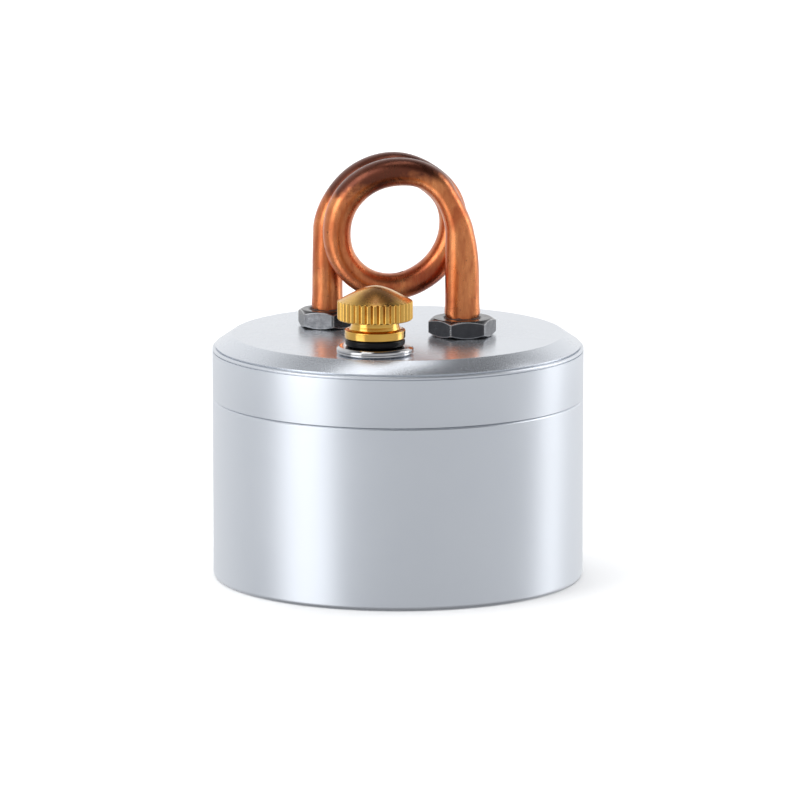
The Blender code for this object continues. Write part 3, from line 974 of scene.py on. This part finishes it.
def bushing(look):
    """The chromed bushing: flange on top, threaded bore and a plain shank through the lid."""
    at = centre_of("filler_bushing")
    low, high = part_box("filler_bushing")
    ring_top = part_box("filler_ring")[1].z + 0.06 * MM
    outline = eased([
        (CAP_FEMALE[0], high.z - 0.25 * MM, 0),
        (3.4 * MM, high.z, 0.1 * MM),
        (5.9 * MM, high.z, 0.12 * MM),
        (FLANGE_R, high.z - 0.34 * MM, 0.15 * MM),
        (FLANGE_R, ring_top, 0.04 * MM),
        (SHANK_R, ring_top, 0.05 * MM),
        (SHANK_R, low.z, 0.35 * MM),
        (CAP_FEMALE[0], low.z, 0.2 * MM),
        (CAP_FEMALE[0], low.z + 0.3 * MM, 0),
    ])
    rings = [ring_of(even(CAP_SIDES), r, z, at) for r, z in outline]
    span = (low.z + 0.4 * MM, high.z - 0.9 * MM)
    rings += thread_rings(CAP_FEMALE, span, CAP_PITCH, CAP_SIDES, FEMALE_RIDGE, 0.5, at)
    finish(skin("bushing", rings, ring_shaped=True), "filler_bushing", "lid", look)


def bushing_ring(look):
    """The chromed ring that the flange sits on."""
    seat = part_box("lid")[1].z
    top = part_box("filler_ring")[1].z
    outline = [
        (FILLER_HOLE_R, seat + SEAT_GAP, 0.05 * MM),
        (5.9 * MM, seat + SEAT_GAP, 0.04 * MM),
        (FLANGE_R, seat + 0.3 * MM, 0.06 * MM),
        (FLANGE_R, top, 0.04 * MM),
        (FILLER_HOLE_R, top, 0.05 * MM),
    ]
    piece = turned_ring("bushing_ring", outline, centre_of("filler_ring"))
    finish(piece, "filler_ring", "lid", look)


def oring(look):
    """The rubber ring, squeezed between the bushing and the cap."""
    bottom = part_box("filler_bushing")[1].z
    top = CAP_SEAT
    half = ((top - bottom) / 2, 0.82 * MM)
    middle = (4.1 * MM, (top + bottom) / 2)
    steps = 40
    rings = []
    for i in range(steps):
        angle = math.tau * i / steps
        c, s = math.cos(angle), math.sin(angle)
        r = middle[0] + half[1] * math.copysign(abs(c) ** 0.85, c)
        z = middle[1] + half[0] * math.copysign(abs(s) ** 0.75, s)
        rings.append(ring_of(even(CAP_SIDES), r, z, centre_of("filler_oring")))
    finish(skin("oring", rings, ring_shaped=True), "filler_oring", "cap_seal", look)


def dome(r, top):
    """The height of the head's dome at a radius: round at the top, and a straighter slope below."""
    return top - math.hypot(1.9 * MM, 0.65 * r) + 1.9 * MM


def cap(look):
    """The filler screw, turned from bar: shank, flange, waisted neck, toothed head and dome."""
    at = centre_of("filler_cap")
    low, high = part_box("filler_cap")
    top = high.z
    base = CAP_SEAT
    head = top - 5.55 * MM
    root = CAP_MALE[0]
    sides = TEETH * TOOTH_STEPS
    angles = even(sides)
    foot = eased([(TIP, low.z, 0), (root - 0.1 * MM, low.z, 0.3 * MM), (root, low.z + 0.4 * MM, 0)])
    rings = [ring_of(angles, r, z, at) for r, z in foot]
    span = (low.z + 0.5 * MM, base - 2.4 * MM)
    rings += thread_rings(CAP_MALE, span, CAP_PITCH, sides, MALE_RIDGE, 0, at)
    neck = eased([
        (root, base - 2.2 * MM, 0),
        (root, base, 0.3 * MM),
        (4.98 * MM, base, 0.12 * MM),
        (4.98 * MM, base + 1.32 * MM, 0.12 * MM),
        (4.56 * MM, base + 1.34 * MM, 0.06 * MM),
        (4.18 * MM, base + 1.48 * MM, 0.3 * MM),
        (3.95 * MM, base + 2.1 * MM, 0.4 * MM),
        (3.84 * MM, head - 0.2 * MM, 0.2 * MM),
        (3.86 * MM, head, 0.05 * MM),
    ])
    rings += [ring_of(angles, r, z, at) for r, z in neck]
    profile = eased([
        (3.9 * MM, head, 0),
        (5.95 * MM, head, 0.1 * MM),
        (6.2 * MM, head + 0.25 * MM, 0.2 * MM),
        (6.22 * MM, dome(6.22 * MM, top), 0.12 * MM),
        (6.1 * MM, dome(6.1 * MM, top), 0),
    ], 6)
    profile += [(r * MM / 10, dome(r * MM / 10, top)) for r in range(60, 0, -1)]
    for (r0, z0), (r1, z1) in zip(profile, profile[1:]):
        steps = max(round(math.hypot(r1 - r0, z1 - z0) / (0.12 * MM)), 1)
        for step in range(steps):
            r = r0 + (r1 - r0) * step / steps
            z = z0 + (z1 - z0) * step / steps

            def radius(angle, r=r):
                tooth = abs(math.cos(TEETH / 2 * angle)) ** 0.8
                return min(r, HEAD_R - TOOTH_DEPTH * (1 - tooth))

            rings.append(ring_of(angles, radius, z, at))
    rings.append(ring_of(angles, profile[-1][0], profile[-1][1], at))
    finish(skin("cap_screw", rings), "filler_cap", "filler_cap", look)


def filler(looks):
    bushing(looks["chrome"])
    bushing_ring(looks["chrome"])
    oring(looks["rubber"])
    cap(looks["brass"])
    seal = flat_ring("filler_gasket", "filler_seal", (FILLER_HOLE_R, 5.8 * MM), 0.12 * MM)
    finish(seal, "filler_seal", "lid", looks["fibre"])
    low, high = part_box("filler_nut")
    at = centre_of("filler_bushing")
    outward = math.atan2(at[0], -at[1])
    nut = hex_nut("filler_locking_nut", 11 * MM, 4.25 * MM, (low.z, high.z), at, outward)
    finish(nut, "filler_nut", "lid", looks["zinc"])


# --- The whole object ---------------------------------------------------------------------------

camera()
studio()
looks = {
    "pot": satin_aluminium("pot_aluminium", 0.36, 0.36, 0.12),
    "lid": satin_aluminium("lid_aluminium", 0.36, 0.27, 0.03),
    "copper": copper_look(),
    "oxide": oxide_look(),
    "zinc": zinc_look(),
    "chrome": chrome_look(),
    "brass": brass_look(),
    "rubber": rubber_look(),
    "fibre": fibre_look(),
    "cotton": cotton_look(),
    "sealant": sealant_look(),
}
cup(looks["pot"])
lid(looks["lid"])
gasket = flat_ring("lid_ring_gasket", "lid_gasket", (27.4 * MM, 28.7 * MM), 0.2 * MM, BODY_SIDES)
finish(gasket, "lid_gasket", "lid_seal", looks["rubber"])
coil(looks["copper"])
for side in ("right", "left"):
    leg_fittings(side, looks)
filler(looks)
